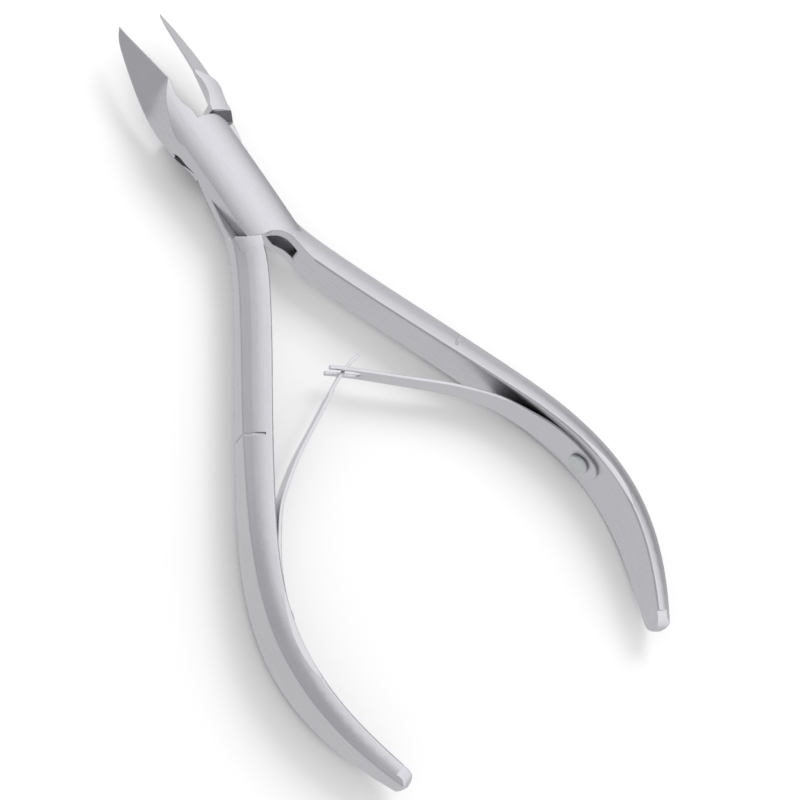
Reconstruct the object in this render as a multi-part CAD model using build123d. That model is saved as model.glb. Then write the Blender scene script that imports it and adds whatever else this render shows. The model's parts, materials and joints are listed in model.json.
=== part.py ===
from build123d import *

# Cuticle nipper: two forged arms lapped on a pivot screw, a forked and a tongued leaf spring.
# Frame: origin in the middle of the resting tool's box, at the plane where the arms lap,
# +Y toward the jaw tips, +X to the right, +Z up out of the face opposite the screw head.
# Everything is drawn about the pivot axis with the arms closed, swung open, then shifted.
import os
from math import sqrt

# ---- rest pose -------------------------------------------------------------
OPEN_HALF = 6.65            # each arm rests this many degrees off the closed plane
PIVOT_Y = 24.85             # the pivot axis lies this far ahead of the frame's origin

# ---- joint -----------------------------------------------------------------
JOINT_HALF_W = 3.60         # half width of the lap joint across its flanks
JOINT_H = 3.05              # height of both faces over the lap plane at the pivot
# each face is a barrel bent along its length: barrel radius, bend radius, y of its highest point
CROWN = (8.3, 270.0, 16.7)
BACK = (4.5, 120.0, 3.0)
LAP_GAP = 0.03              # running gap between the two lap faces
PLATE_FRONT_R = 9.8         # upper plate, front edge radius about the pivot
PLATE_REAR_R = 7.4          # upper plate, rear edge radius about the pivot
JAW_SHOULDER_R = 10.15      # shoulder in the other jaw that clears the upper plate
GRIP_SHOULDER_R = 7.55      # shoulder in the other handle that clears the upper plate
DISC_R = 4.8                # lower plate is a disc of this radius
DISC_SHOULDER_R = 4.9       # shoulder around that disc
CLOSE_GAP = 0.06            # gap left at the closed plane on each arm
REAR_SPLIT = 0.45           # half gap between the handle roots when closed
PLATE_CORNER_R = 1.8        # rounding of the upper plate's free front corner
ROOT_END = -9.4             # the joint block runs this far into the handle roots
WEB_END = -12.3             # and this far under the web in the crotch
ROOT_INNER = [(0.45, -7.6), (0.55, -8.7), (0.70, ROOT_END)]
# plan curves of the crotch on the upper arm: the plate's wall, and the lip below the slot
CROTCH_END = -13.6
CROTCH_WALL = [
    (-0.90, -7.345), (0.30, -7.79), (1.28, -8.75), (1.60, -10.1), (1.70, -11.8), (2.03, CROTCH_END)
]
CROTCH_LIP = [
    (0.30, -7.80), (0.72, -8.62), (1.22, -9.41), (1.54, -10.4), (1.70, -11.8), (2.03, CROTCH_END)
]
POCKET_ROOF = 0.85          # height of the hollow under the plate's rear edge
POCKET_SIDE = -2.0          # x where that hollow starts
CROTCH_POCKET = [(0.00, -5.40), (1.50, -6.50), (2.40, -8.20), (2.65, -9.60), (1.60, -11.00)]
SLOT_H = 1.20               # height of the relief slots under the upper plate
FLANK_SLOT_DEEP = 1.9
# the neck below that slot is scooped out: radius, middle y, x of the deepest point
FLANK_SCOOP = (4.8, 4.6, -1.85)
# roof of the slot in the left flank: y, z
FLANK_SLOT = [
    (8.40, -0.75), (7.80, -0.20), (6.80, 0.02), (5.80, 0.10), (5.00, 0.34), (3.90, 0.30), (1.40, 0.02)
]

# ---- jaws ------------------------------------------------------------------
# station y, facet foot (x, z), facet run per unit of height, underside height
JAW_STATIONS = [
    (26.0, 0.12, 1.40, 1.10, 1.28),
    (24.3, 1.19, 0.80, 1.25, 0.45),
    (22.0, 2.05, 0.62, 1.24, -0.20),
    (20.0, 2.70, 0.50, 1.20, -0.75),
    (17.5, 3.40, 0.30, 1.13, -1.45),
    (16.3, 3.68, 0.18, 1.05, -1.75),
]
UPPER_NECK = [
    (14.6, 4.00, -0.02, 0.70, -2.10),
    (13.0, 4.08, -0.45, 0.42, -2.40),
    (10.5, 3.88, -1.00, 0.09, -2.75),
    (7.5, 3.68, -1.15, 0.02, -3.00),
    (3.0, 3.52, -1.20, 0.01, -3.00),
]
# the lower arm's neck bellies out, so that its flank meets the barrel when the jaws are open
LOWER_NECK = [
    (14.6, 4.12, -0.02, 0.58, -2.10),
    (13.0, 4.36, -0.45, 0.45, -2.40),
    (10.5, 4.36, -1.00, 0.42, -2.75),
    (7.5, 4.35, -1.15, 0.34, -3.00),
    (3.0, 3.70, -1.20, 0.08, -3.00),
]
# hollow behind the cutting edge: y, height where it starts on the closed plane
HOLLOW = [
    (26.6, 1.15), (24.0, 1.38), (22.0, 1.80), (20.0, 2.35), (18.0, 2.78), (16.3, 3.10), (14.0, 3.00),
    (11.2, 2.95),
]
HOLLOW_SLOPE = 0.62         # the hollow moves outward this much per unit of depth
HOLLOW_DEEP = 7.0
FACET_TOP = 5.0             # the facet is drawn past the crown up to this height
JAW_OVER = 8.0              # and this far past the closed plane
BELLY = (0.7, 0.3)          # the underside's arc passes these shares of the foot's x and height
THROAT_Y = 13.3             # middle of the relief behind the cutting edges
THROAT_R = 4.7
THROAT_DEPTH = 0.62

# ---- handles ---------------------------------------------------------------
# plan curve of the inner face, and along it the thickness and the half height
HANDLE_LINE = [
    (0.50, -4.5), (0.55, -8.7), (1.14, -11.3), (2.50, -15.0), (5.05, -21.0), (9.15, -30.0),
    (13.15, -39.0), (16.65, -48.0), (18.15, -57.0), (16.45, -66.0), (13.65, -72.0), (11.0, -76.5),
]
HANDLE_THICK = [
    (3.10, -4.5), (3.65, -8.7), (3.78, -15.0), (3.72, -24.0), (3.35, -39.0), (2.87, -51.0),
    (2.60, -63.0), (2.40, -70.0), (1.90, -76.5),
]
HANDLE_HALF = [
    (2.20, -4.5), (2.42, -8.7), (2.60, -15.0), (2.78, -27.0), (3.02, -36.0), (3.45, -45.0),
    (3.68, -54.0), (3.70, -60.0), (3.35, -66.0), (2.62, -72.0), (1.80, -76.5),
]
HANDLE_STEPS = 22           # the handle is lofted through this many equal steps
# width of the bevel between the top face and the outer face, where the handle is this thick;
# elsewhere it grows with the square of the thickness
BEVEL_RUN = 1.12
BEVEL_THICK = 3.60
TOP_SLOPE = 0.30            # fall of the top face from its inner edge to the bevel
BEVEL_FALL = 0.55           # fall of the bevel per unit of its width
TOP_BULGE = 0.14            # how far the top face bows above a straight line
EDGE_R = 0.28               # rounding of the handle's long edges
END_LENGTH = 2.2            # length of the handle's end as rounded in the side view
END_OVER = 0.15             # the plan rounding is this much wider than the handle on each side
END_NOSE = 1.3              # and as rounded in plan
BAND_Y = -32.8              # engraved line across the handle
BAND_DEPTH = 0.09
BAND_W = 0.32
BAND_START = 1.0            # the line starts this far from the inner face


# ---- springs, rivets and screw ----------------------------------------------
SPRING_T = 0.42             # sheet thickness of both leaf springs
RIVET_HEAD_R = 1.45
RIVET_HEAD_H = 0.50
RIVET_SHANK_R = 0.75
RIVET_DEPTH = 1.6           # how far the shank reaches into the handle
RIVET_CHAMFER = 0.12
RIVET_END_GAP = 0.15        # room past the end of the shank in its blind hole
RIVET_HOLE_GAP = 0.05       # radial clearance of the shank in the spring
# free part of each leaf's centre line at rest, from the handle to the crossing
LEAF_FREE = [
    (21.45, -45.2),
    (20.05, -42.95),
    (18.64, -40.9),
    (17.16, -39.1),
    (15.52, -37.6),
    (12.09, -34.9),
    (8.37, -32.5),
    (4.74, -30.2),
    (0.97, -27.85),
]
SEAT_YS = (-54.0, -51.0, -48.0)  # the root follows the handle at these heights
SEAT_END_Y = -46.0          # the handle is relieved for the leaf from the root up to here
SEAT_GAP = 0.02
HEAD_LIFT = 0.05            # the flat rivet head clears the curved leaf by this much
# half width of a leaf along y
LEAF_WIDTHS = [
    (-52.3, 2.10), (-50.0, 2.30), (-46.5, 2.30), (-42.0, 1.95), (-38.0, 1.60), (-33.0, 1.30)
]
LEAF_ROUND = 0.9            # bulge of the rounded root, as a share of its half width
LEAF_SAMPLES = 60           # points along each face of a leaf
TAPER_LENGTH = 2.0          # the blade reaches its tip width this far before the tip
RIVET_Y = -51.3
FORK_TIP = (-1.80, -26.30)   # where the prongs end
TONGUE_TIP = (-3.05, -26.20)  # where the tongue ends, before mirroring
FORK_SLOT_Y = -28.05        # bottom of the slot between the prongs
FORK_SLOT_HALF = 0.72
PRONG_OUTER = 1.22
TONGUE_FROM_Y = -29.3       # where the tongue narrows
TONGUE_HALF = 0.45
SCREW_R = 1.5
SCREW_RUN_GAP = 0.04
SCREW_TOP = 2.1             # the screw stops inside the upper plate
SCREW_HEAD_R = 2.25
SCREW_HEAD_H = 0.95
SCREW_CHAMFER = 0.15
SCREW_BACK = -3.05          # outer face of the screw head
HEAD_GAP = 0.06
DRIVER_SLOT = (0.55, 0.5)   # width and depth
SCREW_END_GAP = 0.15        # room past the end of the screw in its blind bore
SLOT_NOSE = 0.35            # the flank slot's floor starts this far behind its front
TAIL = 40.0                 # generous size for cutting bodies
HANDLE_REACH = 130.0        # longer than the handle


def at_height(curve, y):
    """Parameter at which a plan curve that runs toward -Y passes the height y."""
    low = 0.0
    high = 1.0
    for _ in range(40):
        mid = (low + high) / 2
        if (curve @ mid).Y > y:
            low = mid
        else:
            high = mid
    return low


def close_rotation(angle):
    """Location turned about the pivot axis."""
    return Location((0, 0, 0), (0, 0, angle))


def jaw_section(y, foot_x, foot_z, run, under):
    """One cross-section of the jaw, drawn past the closed plane and past the crown."""
    top_x = foot_x - run * (FACET_TOP - foot_z)
    outline = Polyline(
        (foot_x, foot_z), (top_x, FACET_TOP), (-JAW_OVER, FACET_TOP), (-JAW_OVER, under), (0, under)
    )
    middle = (BELLY[0] * foot_x, under + BELLY[1] * (foot_z - under))
    belly = ThreePointArc((0, under), middle, (foot_x, foot_z))
    plane = Plane(origin=(0, y, 0), x_dir=(1, 0, 0), z_dir=(0, -1, 0))
    return plane * make_face(Curve() + [outline, belly])


def crown(top_side):
    """Bent barrel whose outer surface is the crowned front or the rounded back of the joint."""
    radius, bend, peak_y = CROWN if top_side else BACK
    peak_z = JOINT_H + bend - sqrt(bend * bend - peak_y * peak_y)
    ring = Torus(bend - radius, radius, rotation=(0, 90, 0))
    if top_side:
        return Pos(0, peak_y, peak_z - bend) * ring
    return Pos(0, peak_y, bend - peak_z) * ring


def slab(x0, x1, y0, y1, z0, z1):
    """Axis-aligned block between two corners."""
    block = Box(x1 - x0, y1 - y0, z1 - z0, align=(Align.MIN, Align.MIN, Align.MIN))
    return Pos(x0, y0, z0) * block


def hollow_section(y, start):
    """Triangle that undercuts the closed plane from the given height downward."""
    foot = HOLLOW_SLOPE * HOLLOW_DEEP
    outline = Polyline(
        (-1, start + 1 / HOLLOW_SLOPE), (foot, start - HOLLOW_DEEP), (-1, start - HOLLOW_DEEP), close=True
    )
    plane = Plane(origin=(0, y, 0), x_dir=(1, 0, 0), z_dir=(0, -1, 0))
    return plane * make_face(outline)


def jaw(neck):
    """Right-hand jaw with the given neck, closed pose."""
    body = loft([jaw_section(*s) for s in JAW_STATIONS + neck])
    front = JAW_STATIONS[0][0]
    back = neck[-1][0]
    body = body & slab(CLOSE_GAP, 10, back, front, -TAIL, TAIL) & crown(True)
    relief = Pos(THROAT_DEPTH - THROAT_R, THROAT_Y, 0) * Cylinder(THROAT_R, TAIL)
    hollow = loft([hollow_section(*s) for s in HOLLOW], ruled=True)
    return body - relief - hollow


def prism(points, z0, z1):
    """Upright prism over a plan polygon."""
    return extrude(Pos(0, 0, z0) * make_face(Polyline(*points, close=True)), amount=z1 - z0)


def curved_prism(curve, corners, z0, z1):
    """Upright prism bounded by a smooth plan curve and then by straight lines through corners."""
    smooth = Spline(curve)
    straight = Polyline(curve[-1], *corners, curve[0])
    return extrude(Pos(0, 0, z0) * make_face(Curve() + [smooth, straight]), amount=z1 - z0)


def joint_block():
    """Block of the lap joint with both crowned faces, before it is split between the arms."""
    block = slab(-JOINT_HALF_W, JOINT_HALF_W, WEB_END, PLATE_FRONT_R + 2, -TAIL, TAIL)
    return block & crown(True) & crown(False)


def plate_plan():
    """Plan of the upper plate: straight flanks, arcs in front and behind, one rounded corner."""
    w = JOINT_HALF_W
    front = sqrt(PLATE_FRONT_R * PLATE_FRONT_R - w * w)
    rear = -sqrt(PLATE_REAR_R * PLATE_REAR_R - w * w)
    edges = [
        Line((-w, rear), (-w, front)),
        ThreePointArc((-w, front), (0, PLATE_FRONT_R), (w, front)),
        Line((w, front), (w, rear)),
        ThreePointArc((w, rear), (0, -PLATE_REAR_R), (-w, rear)),
    ]
    face = make_face(Curve() + edges)
    corner = face.vertices().sort_by(lambda v: v.X + v.Y)[-1]
    return fillet(corner, PLATE_CORNER_R)


def root_plan(side):
    """Plan of the joint block's run into a handle root; side is 1 on the right, -1 on the left."""
    w = JOINT_HALF_W
    points = [(REAR_SPLIT, 0)] + ROOT_INNER + [(w, ROOT_END), (w, 0)]
    return [(side * x, y) for x, y in points]


def handle_frame(y):
    """Plane across the handle at y with x outward, and the thickness and half height there."""
    line = Spline(HANDLE_LINE)
    t = at_height(line, y)
    point = line @ t
    along_line = (line % t).normalized()
    plane = Plane(origin=point, x_dir=(-along_line.Y, along_line.X, 0), z_dir=along_line)
    thick = Spline(HANDLE_THICK)
    half = Spline(HANDLE_HALF)
    return plane, (thick @ at_height(thick, y)).X, (half @ at_height(half, y)).X


def bevel(thick, half):
    """Width of the handle's bevel and the heights of its two edges."""
    run = BEVEL_RUN * (thick / BEVEL_THICK) ** 2
    high = half - TOP_SLOPE * (thick - run)
    return run, high, high - BEVEL_FALL * run


def handle_section(y):
    """Cross-section of the handle: flat inner face, bowed top and bottom, bevels, outer face."""
    plane, thick, half = handle_frame(y)
    run, high, low = bevel(thick, half)
    crest = (0.5 * (thick - run), 0.5 * (half + high) + TOP_BULGE)
    trough = (crest[0], -crest[1])
    inner = Polyline((0, -half), (0, half))
    top = ThreePointArc((0, half), crest, (thick - run, high))
    outer = Polyline((thick - run, high), (thick, low), (thick, -low), (thick - run, -high))
    bottom = ThreePointArc((thick - run, -high), trough, (0, -half))
    face = make_face(Curve() + [inner, top, outer, bottom])
    return plane * fillet(face.vertices(), EDGE_R)


def handle():
    """Right-hand handle, closed pose, with a rounded end and one engraved line."""
    first = HANDLE_LINE[0][1]
    last = HANDLE_LINE[-1][1]
    step = (last - first) / HANDLE_STEPS
    body = loft([handle_section(first + i * step) for i in range(HANDLE_STEPS + 1)])
    plane, thick, half = handle_frame(last)
    # side view of the end: x runs toward the tip, y is up
    side = Plane(origin=plane.origin, x_dir=plane.z_dir, z_dir=plane.x_dir)
    mask = Pos(-END_LENGTH, 0) * Ellipse(END_LENGTH, half)
    mask = mask + Pos(-END_LENGTH - HANDLE_REACH / 2, 0) * Rectangle(HANDLE_REACH, 4 * half)
    body = body & extrude(side * mask, amount=3 * TAIL, both=True)
    # plan view of the end: x runs toward the tip, y is outward
    above = Plane(origin=plane.origin, x_dir=plane.z_dir, z_dir=(0, 0, 1))
    nose = Pos(-END_NOSE, thick / 2) * Ellipse(END_NOSE, thick / 2 + END_OVER)
    nose = nose + Pos(-END_NOSE - HANDLE_REACH / 2, 0) * Rectangle(HANDLE_REACH, 3 * TAIL)
    body = body & extrude(above * nose, amount=TAIL, both=True)
    return body - engraved_line()


def engraved_line():
    """Shallow groove over the top, round the outside and under the bottom of the handle."""
    plane, thick, half = handle_frame(BAND_Y)
    run, high, low = bevel(thick, half)
    deep = BAND_DEPTH
    edge = half - TOP_SLOPE * BAND_START - deep
    far = half + 1
    ring = Polyline(
        (BAND_START, far), (BAND_START, edge), (thick - run, high - deep), (thick - deep, low),
        (thick - deep, -low), (thick - run, deep - high), (BAND_START, -edge), (BAND_START, -far),
        (thick + 1, -far), (thick + 1, far), close=True,
    )
    return extrude(plane * make_face(ring), amount=BAND_W / 2, both=True)


def round_bar(radius, z0, z1):
    """Upright cylinder about the pivot axis."""
    return Pos(0, 0, z0) * Cylinder(radius, z1 - z0, align=(Align.CENTER, Align.CENTER, Align.MIN))


def upper_arm():
    """Arm with the left jaw, the upper plate and the right handle, closed pose."""
    left_jaw = mirror(jaw(UPPER_NECK), about=Plane.YZ)
    block = joint_block()
    plate = block & extrude(plate_plan(), amount=TAIL, both=True)
    root = block & prism(root_plan(1), -TAIL, TAIL)
    # the web fills the crotch between the plate's rear arc and the handle root
    w = JOINT_HALF_W
    corners = [(w, CROTCH_END), (w, CROTCH_WALL[0][1] + 1), (CROTCH_WALL[0][0], CROTCH_WALL[0][1] + 1)]
    web = block & curved_prism(CROTCH_WALL, corners, LAP_GAP / 2, TAIL)
    body = plate + root + web + left_jaw + handle()
    # the lower layer belongs to the other arm's disc and to the opposite quarters
    lower = slab(-TAIL, TAIL, -TAIL, TAIL, -TAIL, LAP_GAP / 2)
    own_front = slab(-TAIL, -CLOSE_GAP, 0, TAIL, -TAIL, TAIL)
    own_rear = slab(REAR_SPLIT, TAIL, -TAIL, 0, -TAIL, TAIL)
    own = (own_front + own_rear) - round_bar(DISC_SHOULDER_R, -2 * TAIL, 2 * TAIL)
    body = body - (lower - own)
    body = body - flank_slot() - crotch_space()
    return body - round_bar(SCREW_R, -TAIL, SCREW_TOP + SCREW_END_GAP)


def flank_slot():
    """Relief slot in the left flank ahead of the disc, and the scoop in the neck below it."""
    front = FLANK_SLOT[0]
    rear = FLANK_SLOT[-1]
    roof = Spline(FLANK_SLOT)
    base = Polyline(rear, (rear[0], -SLOT_H), (front[0] - SLOT_NOSE, -SLOT_H), front)
    plane = Plane(origin=(-JOINT_HALF_W + FLANK_SLOT_DEEP, 0, 0), x_dir=(0, 1, 0), z_dir=(1, 0, 0))
    slot = extrude(plane * make_face(Curve() + [roof, base]), amount=-TAIL)
    radius, middle_y, deepest_x = FLANK_SCOOP
    scoop = Pos(deepest_x - radius, middle_y, 0) * round_bar(radius, -TAIL, -SLOT_H / 2)
    return slot + scoop


def crotch_space():
    """Room between the handle roots: the plate's wall, the slot under it and the lip below."""
    left = -2 * JOINT_HALF_W
    wall = curved_prism(CROTCH_WALL, [(left, CROTCH_END), (left, CROTCH_WALL[0][1])], -SLOT_H, TAIL)
    lip = curved_prism(CROTCH_LIP, [(left, CROTCH_END), (left, CROTCH_LIP[0][1])], -TAIL, -SLOT_H)
    side = [(POCKET_SIDE, CROTCH_POCKET[-1][1]), (POCKET_SIDE, CROTCH_POCKET[0][1])]
    pocket = curved_prism(CROTCH_POCKET, side, -SLOT_H, POCKET_ROOF)
    return wall + lip + pocket


def lower_arm():
    """Arm with the right jaw, the lower disc and the left handle, closed pose."""
    left_handle = mirror(handle(), about=Plane.YZ)
    block = joint_block()
    disc = block & round_bar(DISC_R, -TAIL, TAIL)
    root = block & prism(root_plan(-1), -TAIL, TAIL)
    front = block & slab(CLOSE_GAP, TAIL, 0, PLATE_FRONT_R, -TAIL, 0)
    body = disc + root + front + jaw(LOWER_NECK) + left_handle
    # the upper layer makes room for the other arm's plate
    upper = slab(-TAIL, TAIL, -TAIL, TAIL, -LAP_GAP / 2, TAIL)
    own_front = slab(CLOSE_GAP, TAIL, 0, TAIL, -TAIL, TAIL)
    own_front = own_front - round_bar(JAW_SHOULDER_R, -2 * TAIL, 2 * TAIL)
    own_rear = slab(-TAIL, -REAR_SPLIT, -TAIL, 0, -TAIL, TAIL)
    own_rear = own_rear - round_bar(GRIP_SHOULDER_R, -2 * TAIL, 2 * TAIL)
    body = body - (upper - own_front - own_rear)
    # the lower layer makes room for the other arm's jaw neck and handle root
    other_front = slab(-TAIL, CLOSE_GAP, 0, TAIL, -TAIL, TAIL)
    other_rear = slab(-REAR_SPLIT, TAIL, -TAIL, 0, -TAIL, TAIL)
    others = other_front + other_rear
    body = body - (others - round_bar(DISC_R, -2 * TAIL, 2 * TAIL))
    body = body - round_bar(SCREW_R + SCREW_RUN_GAP, -TAIL, TAIL)
    seat = round_bar(SCREW_HEAD_R + HEAD_GAP, -TAIL, SCREW_BACK + SCREW_HEAD_H + HEAD_GAP)
    return body - seat


def pivot_screw():
    """Slotted cheese-head screw whose shank is tight in the upper plate."""
    head = round_bar(SCREW_HEAD_R, SCREW_BACK, SCREW_BACK + SCREW_HEAD_H)
    head = chamfer(head.edges().sort_by(Axis.Z)[0], SCREW_CHAMFER)
    shank = round_bar(SCREW_R, SCREW_BACK + SCREW_HEAD_H, SCREW_TOP)
    width, depth = DRIVER_SLOT
    slot = Pos(0, 0, SCREW_BACK) * Box(2 * SCREW_HEAD_R + 1, width, 2 * depth)
    return head + shank - slot


def on_inner_face(y, away):
    """Point at rest on the right handle's inner face, moved inward by away, and that direction."""
    line = close_rotation(OPEN_HALF) * Spline(HANDLE_LINE)
    t = at_height(line, y)
    along_line = line % t
    inward = Vector(along_line.Y, -along_line.X, 0)
    return line @ t + inward * away, inward


def leaf_points(tip):
    """Centre line of a leaf in plan: root along the handle, then the free arc, then the tip."""
    seated = [on_inner_face(y, SPRING_T / 2 + SEAT_GAP)[0] for y in SEAT_YS]
    points = [(p.X, p.Y) for p in seated]
    return points + list(LEAF_FREE) + [tip]


def leaf_strip(tip, thick):
    """Upright wall of the given thickness along the leaf's centre line."""
    spine = Spline(leaf_points(tip))
    left = []
    right = []
    for i in range(LEAF_SAMPLES + 1):
        p = spine @ (i / LEAF_SAMPLES)
        t = spine % (i / LEAF_SAMPLES)
        side = Vector(-t.Y, t.X, 0) * (thick / 2)
        left.append(p + side)
        right.append(p - side)
    a = Spline(left)
    b = Spline(right)
    ends = [Line(a @ 0, b @ 0), Line(a @ 1, b @ 1)]
    face = make_face(Curve() + [a, b] + ends)
    return extrude(face, amount=4, both=True)


def leaf_mask(end_y):
    """Side outline of a leaf as a prism across X: rounded root, tapering blade."""
    root_y, root_half = LEAF_WIDTHS[0]
    upper = LEAF_WIDTHS + [(end_y, PRONG_OUTER)]
    lower = [(y, -w) for y, w in reversed(upper)]
    edge_up = Spline(upper)
    edge_low = Spline(lower)
    far_y = root_y - LEAF_ROUND * root_half
    root = ThreePointArc((root_y, -root_half), (far_y, 0), (root_y, root_half))
    end = Line((end_y, PRONG_OUTER), (end_y, -PRONG_OUTER))
    plane = Plane(origin=(0, 0, 0), x_dir=(0, 1, 0), z_dir=(1, 0, 0))
    face = make_face(Curve() + [edge_up, edge_low, root, end])
    return extrude(plane * face, amount=TAIL, both=True)


def rivet_place():
    """Centre of the rivet on the handle's inner face and the inward direction."""
    return on_inner_face(RIVET_Y, 0)


def along(point, direction, start, end, radius):
    """Cylinder along a direction from start to end, measured from the point."""
    plane = Plane(origin=point + direction * start, z_dir=direction)
    return extrude(plane * Circle(radius), amount=end - start)


def fork_leaf():
    """Leaf on the right handle, ending in two prongs."""
    body = leaf_strip(FORK_TIP, SPRING_T) & leaf_mask(FORK_TIP[1] + TAPER_LENGTH)
    slot = slab(-TAIL, TAIL, FORK_SLOT_Y, 0, -FORK_SLOT_HALF, FORK_SLOT_HALF)
    round_end = Pos(0, FORK_SLOT_Y, 0) * Cylinder(FORK_SLOT_HALF, 2 * TAIL, rotation=(0, 90, 0))
    point, inward = rivet_place()
    return body - slot - round_end - along(point, inward, -1, 3, RIVET_SHANK_R + RIVET_HOLE_GAP)


def tongue_leaf():
    """Leaf on the left handle, ending in a narrow tongue."""
    body = leaf_strip(TONGUE_TIP, SPRING_T) & leaf_mask(TONGUE_TIP[1] + TAPER_LENGTH)
    for sign in (1, -1):
        z0, z1 = sorted((sign * TONGUE_HALF, sign * 5))
        cut = slab(-TAIL, TAIL, TONGUE_FROM_Y, 0, z0, z1)
        body = body - cut
    point, inward = rivet_place()
    body = body - along(point, inward, -1, 3, RIVET_SHANK_R + RIVET_HOLE_GAP)
    return mirror(body, about=Plane.YZ)


def rivet():
    """Flat round-headed rivet on the right handle."""
    point, inward = rivet_place()
    head_at = SPRING_T + SEAT_GAP * 2 + HEAD_LIFT
    head = along(point, inward, head_at, head_at + RIVET_HEAD_H, RIVET_HEAD_R)
    rim = head.edges().filter_by(GeomType.CIRCLE).sort_by(lambda e: (e.center() - point).length)[-1]
    head = chamfer(rim, RIVET_CHAMFER)
    return head + along(point, inward, -RIVET_DEPTH, head_at, RIVET_SHANK_R)


def rivet_bore():
    """Blind hole for the rivet's shank in the right handle."""
    point, inward = rivet_place()
    return along(point, inward, -RIVET_DEPTH - RIVET_END_GAP, 2, RIVET_SHANK_R)


def parts():
    """Every sub-part at rest, by node name."""
    upper = close_rotation(OPEN_HALF) * upper_arm() - rivet_bore()
    lower = close_rotation(-OPEN_HALF) * lower_arm() - mirror(rivet_bore(), about=Plane.YZ)
    rear = slab(0, TAIL, -2 * TAIL, SEAT_END_Y, -TAIL, TAIL)
    seat = leaf_strip(FORK_TIP, SPRING_T + 2 * SEAT_GAP) & rear
    upper = upper - seat
    lower = lower - mirror(seat, about=Plane.YZ)
    made = {
        "upper_arm": upper,
        "lower_arm": lower,
        "pivot_screw": pivot_screw(),
        "fork_leaf_spring": fork_leaf(),
        "tongue_leaf_spring": tongue_leaf(),
        "fork_spring_rivet": rivet(),
        "tongue_spring_rivet": mirror(rivet(), about=Plane.YZ),
    }
    return {name: Pos(0, PIVOT_Y, 0) * shape for name, shape in made.items()}


os.makedirs("parts", exist_ok=True)
for name, shape in parts().items():
    export_step(shape, f"parts/{name}.step")
    print(name, round(shape.volume, 2), len(shape.solids()), shape.is_valid)
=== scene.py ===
"""Looks of the cuticle nipper: satin steel arms, screw, rivets and two flexing leaf springs."""
import json
from math import radians

import bmesh
import bpy
from mathutils import Matrix, Vector

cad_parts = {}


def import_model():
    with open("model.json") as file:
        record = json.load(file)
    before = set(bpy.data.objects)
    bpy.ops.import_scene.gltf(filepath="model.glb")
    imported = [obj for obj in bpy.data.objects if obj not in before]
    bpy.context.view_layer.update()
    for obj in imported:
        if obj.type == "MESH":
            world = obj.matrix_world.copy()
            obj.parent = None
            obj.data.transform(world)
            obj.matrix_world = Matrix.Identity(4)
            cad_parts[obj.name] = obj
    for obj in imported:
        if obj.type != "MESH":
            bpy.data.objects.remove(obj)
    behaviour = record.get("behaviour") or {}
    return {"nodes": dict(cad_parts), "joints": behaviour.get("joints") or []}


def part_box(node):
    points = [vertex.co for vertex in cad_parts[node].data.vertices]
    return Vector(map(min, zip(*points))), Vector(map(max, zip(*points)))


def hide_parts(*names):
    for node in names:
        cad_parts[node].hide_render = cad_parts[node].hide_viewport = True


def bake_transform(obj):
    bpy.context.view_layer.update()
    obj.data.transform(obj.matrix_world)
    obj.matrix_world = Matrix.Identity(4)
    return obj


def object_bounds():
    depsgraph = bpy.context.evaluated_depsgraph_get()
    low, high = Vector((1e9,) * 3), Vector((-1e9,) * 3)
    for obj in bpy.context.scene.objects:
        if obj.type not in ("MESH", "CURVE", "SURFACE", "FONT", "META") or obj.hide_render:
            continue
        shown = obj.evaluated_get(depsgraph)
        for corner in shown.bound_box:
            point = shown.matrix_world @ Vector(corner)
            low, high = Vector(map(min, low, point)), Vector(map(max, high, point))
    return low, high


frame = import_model()
cad_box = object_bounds()

MM = 0.001
JOINTS = {j["name"]: j for j in frame["joints"]}
PIVOT = Vector(JOINTS["arm_pivot"]["pos_m"])

# camera that sees the nipper from the left, above and slightly turned, measured from the pivot
CAMERA_AT = (-113.25, -70.11, 195.67)
CAMERA_RIGHT = (0.7762, -0.5065, 0.3755)
CAMERA_UP = (0.3689, 0.8478, 0.3810)
LENS = 82.48
SENSOR = 36.0
CLIP = (0.01, 20.0)

# brightness the metal sees, by how far to the right the reflected direction points (-1 to 1)
REFLECTED = [
    (-1.0, 0.50), (-0.74, 0.56), (-0.34, 0.54), (-0.07, 0.97), (0.30, 1.28), (0.65, 1.27), (0.86, 0.98),
    (0.97, 0.34), (1.0, 0.24),
]
FLOOR_REFLECTED = 0.79      # brightness of the floor as the metal sees it
REFLECTED_FULL = 1.25       # brightness that counts as white in that grade
SKY_TINT = (0.985, 0.99, 1.0)
PAPER_LIGHT = 0.90          # even light that the floor receives
PAPER = 0.93                # whiteness of the floor
FLOOR_SIZE = 6
FLOOR_GAP = 0.0001          # the floor lies this far below the nipper
KEY_POWER = 1.15
KEY_SIZE = 0.30
KEY_AT = (330, 160, 420)    # mm from the pivot

# painted shade in the recesses of each arm: how dark the painted shade is, and a box about the pivot
# with that arm swung closed (mm)
OPEN_HALF = 6.65
RECESS_SHADE = {
    "upper_arm": [
        (1.0, ((-3.40, -0.3), (1.2, 8.6), (-2.5, 0.45))),
        (0.33, ((-2.2, 2.9), (-11.2, -5.0), (-1.17, 0.88))),
    ],
    "lower_arm": [(1.0, ((-3.40, -0.3), (2.6, 4.9), (-2.5, -0.05)))],
}
# painted shade on the lower arm's shoulder wall: radius about the pivot, half the band around it, top,
# how dark the painted shade is (mm)
SHOULDER_R = 10.15
SHOULDER_BAND = 0.12
SHOULDER_TOP = 2.9
SHOULDER_SHADE = 0.75

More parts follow.
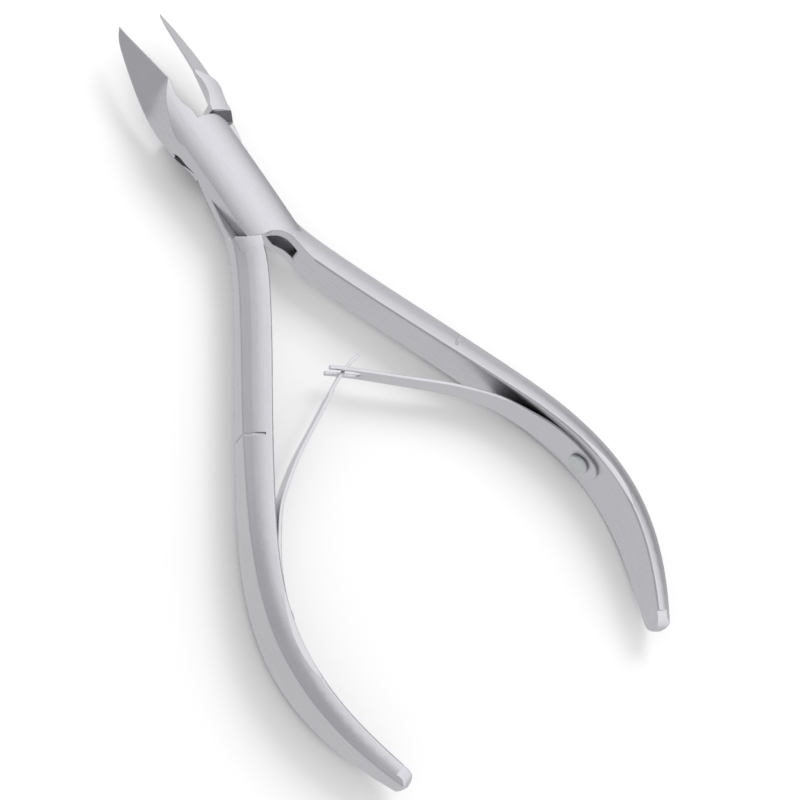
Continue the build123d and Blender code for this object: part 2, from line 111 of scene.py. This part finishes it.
# steel, lengths in metres
TONE = (0.61, 0.605, 0.635)
# painted shade: the dark colour that crevices and recesses are darkened towards
PAINTED_SHADE_TONE = (0.05, 0.05, 0.055)
EDGE_GAIN = 1.18            # edges are this much brighter, partly worn polish and partly painted highlight
EDGE_R = 0.00016            # radius over which an edge counts as worn and gets painted highlight
CREVICE_REACH = 0.0020      # how near another face must be for a crevice to get painted shade
CLOUD_SCALE = 220.0
SPECK_SCALE = 5200.0
BUMP = 0.10
ARM_GRAIN = (5200, 260, 5200)
ARM_GRAIN_DEPTH = 0.000018
EVEN_GRAIN = (2600, 2600, 2600)
EVEN_GRAIN_DEPTH = 0.000012
LINE_STEPS = 24             # heights at which a handle's middle is sampled for its grain
LINE_END = 2                # within this many steps of the joint the middle is taken as x = 0
LINE_SPAN = 0.03            # distance that the grain's curve maps to one

# flexing leaves, in metres
LEAF_SLICE = 0.0004         # length of one slice of a bending leaf
LEAF_CREASE = 0.5           # radians; sharper edges of a leaf stay crisp


def camera():
    """The scene's camera."""
    data = bpy.data.cameras.new("camera")
    data.lens = LENS
    data.sensor_width = SENSOR
    data.sensor_fit = "HORIZONTAL"
    data.clip_start, data.clip_end = CLIP
    made = bpy.data.objects.new("camera", data)
    bpy.context.scene.collection.objects.link(made)
    right = Vector(CAMERA_RIGHT).normalized()
    back = right.cross(Vector(CAMERA_UP)).normalized()
    up = back.cross(right)
    turn = Matrix((right, up, back)).transposed().to_4x4()
    made.matrix_world = Matrix.Translation(PIVOT + Vector(CAMERA_AT) * MM) @ turn
    bpy.context.scene.camera = made


def key_light():
    """Large soft light above and to the right, unseen in the metal's reflections."""
    data = bpy.data.lights.new("key", "AREA")
    data.shape = "SQUARE"
    data.size = KEY_SIZE
    data.energy = KEY_POWER
    made = bpy.data.objects.new("key", data)
    bpy.context.scene.collection.objects.link(made)
    made.location = PIVOT + Vector(KEY_AT) * MM
    aim = Vector((0, 0, 0)) - made.location
    made.rotation_mode = "QUATERNION"
    made.rotation_quaternion = aim.to_track_quat("-Z", "Y")
    made.visible_glossy = False


def sky_colour(level):
    """Colour of the surround where the metal sees this brightness."""
    tone = level / REFLECTED_FULL
    return (*(tone * tint for tint in SKY_TINT), 1)


def world():
    """Surround: even light on the floor, and a grade from dim left to bright right in the metal."""
    made = bpy.data.worlds.new("studio")
    bpy.context.scene.world = made
    made.use_nodes = True
    tree = made.node_tree
    tree.nodes.clear()
    link = tree.links.new
    out = tree.nodes.new("ShaderNodeOutputWorld")
    even = tree.nodes.new("ShaderNodeBackground")
    even.inputs["Color"].default_value = (1, 1, 1, 1)
    even.inputs["Strength"].default_value = PAPER_LIGHT
    graded = tree.nodes.new("ShaderNodeBackground")
    graded.inputs["Strength"].default_value = REFLECTED_FULL
    ramp = tree.nodes.new("ShaderNodeValToRGB")
    split = tree.nodes.new("ShaderNodeSeparateXYZ")
    place = tree.nodes.new("ShaderNodeTexCoord")
    span = tree.nodes.new("ShaderNodeMapRange")
    span.inputs["From Min"].default_value = -1.0
    span.inputs["From Max"].default_value = 1.0
    path = tree.nodes.new("ShaderNodeLightPath")
    pick = tree.nodes.new("ShaderNodeMixShader")
    link(place.outputs["Generated"], split.inputs[0])
    link(split.outputs["X"], span.inputs["Value"])
    link(span.outputs[0], ramp.inputs[0])
    link(ramp.outputs[0], graded.inputs["Color"])
    link(path.outputs["Is Glossy Ray"], pick.inputs[0])
    link(even.outputs[0], pick.inputs[1])
    link(graded.outputs[0], pick.inputs[2])
    link(pick.outputs[0], out.inputs[0])
    stops = ramp.color_ramp.elements
    stops[0].position = 0.0
    stops[1].position = 1.0
    ends = [(stops[0], REFLECTED[0][1]), (stops[1], REFLECTED[-1][1])]
    for stop, level in ends:
        stop.color = sky_colour(level)
    for at, level in REFLECTED[1:-1]:
        stops.new((at + 1) / 2).color = sky_colour(level)


def floor():
    """Pale floor just under the nipper."""
    low = cad_box[0].z - FLOOR_GAP
    bpy.ops.mesh.primitive_plane_add(size=FLOOR_SIZE, location=(0, 0, low))
    made = bpy.context.object
    made.name = "floor"
    made.data.materials.append(floor_finish())


def floor_finish():
    """White paper, which the metal sees evenly lit, without the nipper's own shadow on it."""
    made = bpy.data.materials.new("floor_paper")
    made.use_nodes = True
    paint = made.node_tree.nodes["Principled BSDF"]
    paint.inputs["Base Color"].default_value = (PAPER, PAPER, PAPER, 1)
    paint.inputs["Roughness"].default_value = 0.9
    paint.inputs["Specular IOR Level"].default_value = 0.0
    tree = made.node_tree
    seen = tree.nodes.new("ShaderNodeEmission")
    seen.inputs["Strength"].default_value = FLOOR_REFLECTED
    path = tree.nodes.new("ShaderNodeLightPath")
    pick = tree.nodes.new("ShaderNodeMixShader")
    out = tree.nodes["Material Output"]
    tree.links.new(path.outputs["Is Glossy Ray"], pick.inputs[0])
    tree.links.new(paint.outputs[0], pick.inputs[1])
    tree.links.new(seen.outputs[0], pick.inputs[2])
    tree.links.new(pick.outputs[0], out.inputs["Surface"])
    return made


def handle_line(node):
    """Distance of the handle's middle from the plane x = 0, by y, sampled from the CAD node."""
    low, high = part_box(node)
    points = [v.co for v in frame["nodes"][node].data.vertices]
    side = 1 if abs(high.x) > abs(low.x) else -1
    reach = PIVOT.y - low.y
    rows = []
    for i in range(LINE_STEPS + 1):
        y = low.y + reach * i / LINE_STEPS
        near = [p.x * side for p in points if abs(p.y - y) < reach / LINE_STEPS]
        near = [x for x in near if x > 0] or [0.0]
        middle = (min(near) + max(near)) / 2 if i < LINE_STEPS - LINE_END else 0.0
        rows.append((i / LINE_STEPS, middle))
    return rows


class Nodes:
    """Short helpers for a material's node tree."""

    def __init__(self, name):
        self.material = bpy.data.materials.new(name)
        self.material.use_nodes = True
        self.tree = self.material.node_tree
        self.metal = self.tree.nodes["Principled BSDF"]

    def add(self, kind, **values):
        node = self.tree.nodes.new("ShaderNode" + kind)
        for key, value in values.items():
            setattr(node, key, value)
        return node

    def link(self, a, b):
        self.tree.links.new(a, b)

    def math(self, operation, a, b):
        node = self.add("Math", operation=operation)
        for slot, value in ((0, a), (1, b)):
            if isinstance(value, (int, float)):
                node.inputs[slot].default_value = value
            else:
                self.link(value, node.inputs[slot])
        return node.outputs[0]

    def span(self, value, low, high, to_low, to_high):
        node = self.add("MapRange")
        limits = {"From Min": low, "From Max": high, "To Min": to_low, "To Max": to_high}
        for name, number in limits.items():
            node.inputs[name].default_value = number
        self.link(value, node.inputs["Value"])
        return node.outputs[0]

    def blend(self, share, a, b, kind="MIX"):
        node = self.add("Mix", data_type="RGBA", blend_type=kind)
        for slot, value in ((0, share), (6, a), (7, b)):
            if isinstance(value, (int, float)):
                node.inputs[slot].default_value = value
            elif isinstance(value, tuple):
                node.inputs[slot].default_value = (*value, 1)
            else:
                self.link(value, node.inputs[slot])
        return node.outputs[2]

    def noise(self, vector, scale, detail):
        node = self.add("TexNoise")
        node.inputs["Scale"].default_value = scale
        node.inputs["Detail"].default_value = detail
        self.link(vector, node.inputs["Vector"])
        return node.outputs["Fac"]


def grain_place(kit, grain, line_node):
    """Position on the piece, and one stretched along the arm so that the grain follows it."""
    place = kit.add("TexCoord")
    split = kit.add("SeparateXYZ")
    kit.link(place.outputs["Object"], split.inputs[0])
    across = split.outputs["X"]
    if line_node:
        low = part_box(line_node)[0].y
        share = kit.span(split.outputs["Y"], low, PIVOT.y, 0.0, 1.0)
        curve = kit.add("FloatCurve")
        points = curve.mapping.curves[0].points
        rows = handle_line(line_node)
        points[0].location = rows[0][0], rows[0][1] / LINE_SPAN
        points[1].location = rows[-1][0], rows[-1][1] / LINE_SPAN
        for t, x in rows[1:-1]:
            points.new(t, x / LINE_SPAN)
        curve.mapping.update()
        kit.link(share, curve.inputs["Value"])
        middle = kit.math("MULTIPLY", curve.outputs[0], LINE_SPAN)
        across = kit.math("SUBTRACT", kit.math("ABSOLUTE", across, 0.0), middle)
    join = kit.add("CombineXYZ")
    kit.link(across, join.inputs[0])
    kit.link(split.outputs["Y"], join.inputs[1])
    kit.link(split.outputs["Z"], join.inputs[2])
    stretch = kit.add("Mapping")
    stretch.inputs["Scale"].default_value = grain
    kit.link(join.outputs[0], stretch.inputs[0])
    return place.outputs["Object"], stretch.outputs[0]


def inside(kit, value, low, high):
    """One where the value lies between two limits, zero elsewhere."""
    above = kit.math("GREATER_THAN", value, low)
    below = kit.math("LESS_THAN", value, high)
    return kit.math("MULTIPLY", above, below)


def recess_painted_shade(kit, where, node):
    """How much painted shade darkens the arm's hidden recesses and its shoulder wall."""
    turn = radians(OPEN_HALF if node == "upper_arm" else -OPEN_HALF)
    back = kit.add("Mapping")
    back.vector_type = "TEXTURE"
    back.inputs["Location"].default_value = PIVOT
    back.inputs["Rotation"].default_value = (0, 0, turn)
    kit.link(where, back.inputs[0])
    split = kit.add("SeparateXYZ")
    kit.link(back.outputs[0], split.inputs[0])
    share = 0.0
    for hit, box in RECESS_SHADE[node]:
        for axis, (low, high) in zip("XYZ", box):
            hit = kit.math("MULTIPLY", hit, inside(kit, split.outputs[axis], low * MM, high * MM))
        share = kit.math("MAXIMUM", share, hit)
    if node == "lower_arm":
        x, y, z = (split.outputs[axis] for axis in "XYZ")
        square = kit.math("ADD", kit.math("MULTIPLY", x, x), kit.math("MULTIPLY", y, y))
        radius = kit.math("SQRT", square, 0)
        near, far = (SHOULDER_R - SHOULDER_BAND) * MM, (SHOULDER_R + SHOULDER_BAND) * MM
        wall = inside(kit, radius, near, far)
        wall = kit.math("MULTIPLY", wall, inside(kit, z, 0.0, SHOULDER_TOP * MM))
        wall = kit.math("MULTIPLY", wall, kit.math("GREATER_THAN", y, 0.0))
        share = kit.math("MAXIMUM", share, kit.math("MULTIPLY", wall, SHOULDER_SHADE))
    return share


def steel(name, tone, rough, grain, grain_depth, line_node=None):
    """Satin steel: fine ground grain, cloudy polish, brighter edges as worn polish with painted
    highlight, and painted shade in crevices.
    """
    kit = Nodes(name)
    metal = kit.metal
    metal.inputs["Metallic"].default_value = 1.0
    where, along = grain_place(kit, grain, line_node)
    streaks = kit.noise(along, 1.0, 5.0)
    cloud = kit.noise(where, CLOUD_SCALE, 3.0)
    speck = kit.noise(where, SPECK_SCALE, 2.0)
    body = kit.blend(cloud, tuple(c * 0.95 for c in tone), tuple(c * 1.03 for c in tone))
    body = kit.blend(kit.span(streaks, 0.35, 0.65, 0.0, 1.0), body, tuple(c * 0.96 for c in tone))
    # edges: where a rounded normal differs from the flat one; their brighter colour is partly worn
    # polish, partly painted highlight
    soft = kit.add("Bevel", samples=6)
    soft.inputs["Radius"].default_value = EDGE_R
    flat = kit.add("NewGeometry")
    dot = kit.add("VectorMath", operation="DOT_PRODUCT")
    kit.link(soft.outputs[0], dot.inputs[0])
    kit.link(flat.outputs["Normal"], dot.inputs[1])
    edge = kit.span(dot.outputs["Value"], 0.995, 0.90, 0.0, 0.7)
    body = kit.blend(edge, body, tuple(min(1.0, c * EDGE_GAIN) for c in tone))
    # painted shade: crevices, where other faces lie near, are darkened towards a dark colour
    gap = kit.add("AmbientOcclusion", samples=6)
    gap.inputs["Distance"].default_value = CREVICE_REACH
    painted_shade = kit.span(gap.outputs["AO"], 0.52, 0.12, 0.0, 0.95)
    # painted shade in the arm's recesses and on its shoulder wall
    if line_node:
        painted_shade = kit.math("MAXIMUM", painted_shade, recess_painted_shade(kit, where, line_node))
    body = kit.blend(painted_shade, body, PAINTED_SHADE_TONE)
    kit.link(body, metal.inputs["Base Color"])
    ground = kit.span(streaks, 0.3, 0.7, rough - 0.03, rough + 0.04)
    worn = kit.span(cloud, 0.3, 0.7, -0.02, 0.03)
    kit.link(kit.math("ADD", ground, worn), metal.inputs["Roughness"])
    relief = kit.math("ADD", kit.math("MULTIPLY", streaks, 0.8), kit.math("MULTIPLY", speck, 0.15))
    bump = kit.add("Bump")
    bump.inputs["Strength"].default_value = BUMP
    bump.inputs["Distance"].default_value = grain_depth
    kit.link(relief, bump.inputs["Height"])
    kit.link(soft.outputs[0], bump.inputs["Normal"])
    kit.link(bump.outputs[0], metal.inputs["Normal"])
    return kit.material


def paint(piece, finish):
    """Give a piece one finish."""
    piece.data.materials.clear()
    piece.data.materials.append(finish)


def flexing_leaf(node, finish):
    """Copy of a CAD leaf, cut into slices between its handle and its tip, shown in place of the CAD
    leaf, which is hidden.
    """
    mesh = frame["nodes"][node].data.copy()
    mesh.name = node + "_flex"
    shape = bmesh.new()
    shape.from_mesh(mesh)
    bmesh.ops.remove_doubles(shape, verts=shape.verts, dist=1e-7)
    low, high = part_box(node)
    y = low.y + LEAF_SLICE
    while y < high.y:
        everything = shape.verts[:] + shape.edges[:] + shape.faces[:]
        bmesh.ops.bisect_plane(
            shape, geom=everything, plane_co=(0, y, 0), plane_no=(0, 1, 0), dist=1e-8
        )
        y += LEAF_SLICE
    bmesh.ops.recalc_face_normals(shape, faces=shape.faces)
    for face in shape.faces:
        face.smooth = True
    for edge in shape.edges:
        if len(edge.link_faces) == 2 and edge.calc_face_angle() > LEAF_CREASE:
            edge.smooth = False
    shape.to_mesh(mesh)
    shape.free()
    made = bpy.data.objects.new(node + "_flex", mesh)
    bpy.context.scene.collection.objects.link(made)
    paint(made, finish)
    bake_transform(made)
    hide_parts(node)
    return made


ARMS = {
    node: steel(node + "_steel", TONE, 0.28, ARM_GRAIN, ARM_GRAIN_DEPTH, node)
    for node in ("upper_arm", "lower_arm")
}
SPRING = steel("spring_steel", (0.63, 0.625, 0.655), 0.30, (600, 600, 6000), 0.000010)
RIVET = steel("rivet_steel", (0.60, 0.605, 0.62), 0.33, EVEN_GRAIN, EVEN_GRAIN_DEPTH)
SCREW = steel("screw_steel", (0.60, 0.605, 0.615), 0.28, EVEN_GRAIN, EVEN_GRAIN_DEPTH)

for node, finish in ARMS.items():
    paint(frame["nodes"][node], finish)
paint(frame["nodes"]["pivot_screw"], SCREW)
paint(frame["nodes"]["fork_spring_rivet"], RIVET)
paint(frame["nodes"]["tongue_spring_rivet"], RIVET)
flexing_leaf("fork_leaf_spring", SPRING)
flexing_leaf("tongue_leaf_spring", SPRING)

world()
floor()
camera()
key_light()
bpy.context.scene.view_settings.view_transform = "Standard"
